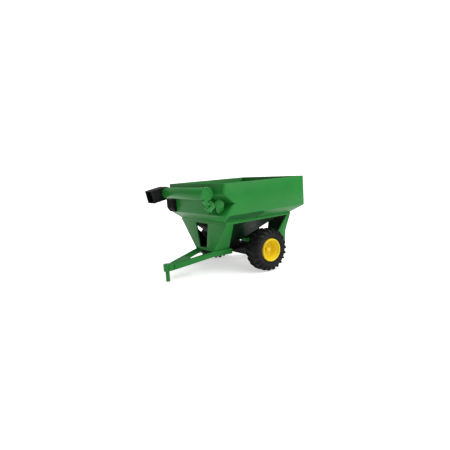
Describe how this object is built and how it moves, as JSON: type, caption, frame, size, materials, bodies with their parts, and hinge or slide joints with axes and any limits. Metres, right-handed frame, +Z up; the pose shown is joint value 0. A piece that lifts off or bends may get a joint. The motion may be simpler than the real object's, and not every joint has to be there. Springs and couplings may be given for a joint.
{
  "type": "toy grain cart",
  "caption": "Toy grain cart: open tapered tank on slotted pedestals, A-frame tongue with hitch pin, lugged tyres, folding corner auger with a drooping spout.",
  "frame": {"origin": "centre of the hitch pin's tip, on the ground", "axes": "+X to the cart's left, +Y to its rear, +Z up"},
  "size_m": [0.276, 0.3795, 0.239],
  "materials": {
    "green_plastic": "glossy injection-moulded",
    "dark_green_strip": "glossy plain adhesive strip",
    "deep_green_plastic": "satin blackish-green moulded",
    "black_plastic": "satin black moulded",
    "yellow_plastic": "glossy moulded",
    "tyre_rubber": "soft moulded rubber",
    "steel": "zinc plated"
  },
  "bodies": {
    "cart": {"auger_rest": "black_plastic", "axle_beam": "black_plastic", "axle_rod": "steel", "axle_spacer_left": "black_plastic", "axle_spacer_right": "black_plastic", "belt_rail": "green_plastic", "chassis_spine_front": "black_plastic", "chassis_spine_rear": "black_plastic", "decal_strip_left": "dark_green_strip", "decal_strip_right": "dark_green_strip", "front_liner": "deep_green_plastic", "front_pedestal": "green_plastic", "funnel_screws": "steel", "hinge_bracket_lower": "green_plastic", "hinge_pin": "steel", "hitch_head": "green_plastic", "hitch_pin": "green_plastic", "hopper_funnel": "deep_green_plastic", "lower_auger_flange": "green_plastic", "lower_auger_tube": "green_plastic", "pedestal_screws": "steel", "rear_liner": "deep_green_plastic", "rear_pedestal": "green_plastic", "sump_box": "black_plastic", "tank_shell": "green_plastic", "tongue_beam_left": "green_plastic", "tongue_beam_right": "green_plastic", "tongue_nose_plate": "green_plastic", "tongue_screws": "steel"},
    "left_wheel": {"hub_bush_left": "black_plastic", "hub_cap_left": "yellow_plastic", "tyre_left": "tyre_rubber", "wheel_rim_left": "yellow_plastic"},
    "right_wheel": {"hub_bush_right": "black_plastic", "hub_cap_right": "yellow_plastic", "tyre_right": "tyre_rubber", "wheel_rim_right": "yellow_plastic"},
    "upper_auger": {"upper_auger_tube": "green_plastic", "upper_auger_flange": "green_plastic", "hinge_bracket_upper": "green_plastic"},
    "spout": {"spout_hood": "black_plastic", "spout_spigot": "black_plastic"}
  },
  "joints": [
    {"name": "left_wheel_spin", "type": "hinge", "parent": "cart", "child": "left_wheel", "pos_m": [0.1145, 0.235, 0.056], "axis": [1, 0, 0], "continuous": true},
    {"name": "right_wheel_spin", "type": "hinge", "parent": "cart", "child": "right_wheel", "pos_m": [-0.1145, 0.235, 0.056], "axis": [1, 0, 0], "continuous": true},
    {"name": "auger_fold", "type": "hinge", "parent": "cart", "child": "upper_auger", "pos_m": [0.1007, 0.071, 0.1902], "axis": [0, 0.75, 0.6614], "range_deg": [0, 126.87]},
    {"name": "spout_turn", "type": "hinge", "parent": "upper_auger", "child": "spout", "pos_m": [-0.1, 0.0705, 0.2165], "axis": [1, 0, 0], "range_deg": [-15, 45]}
  ]
}
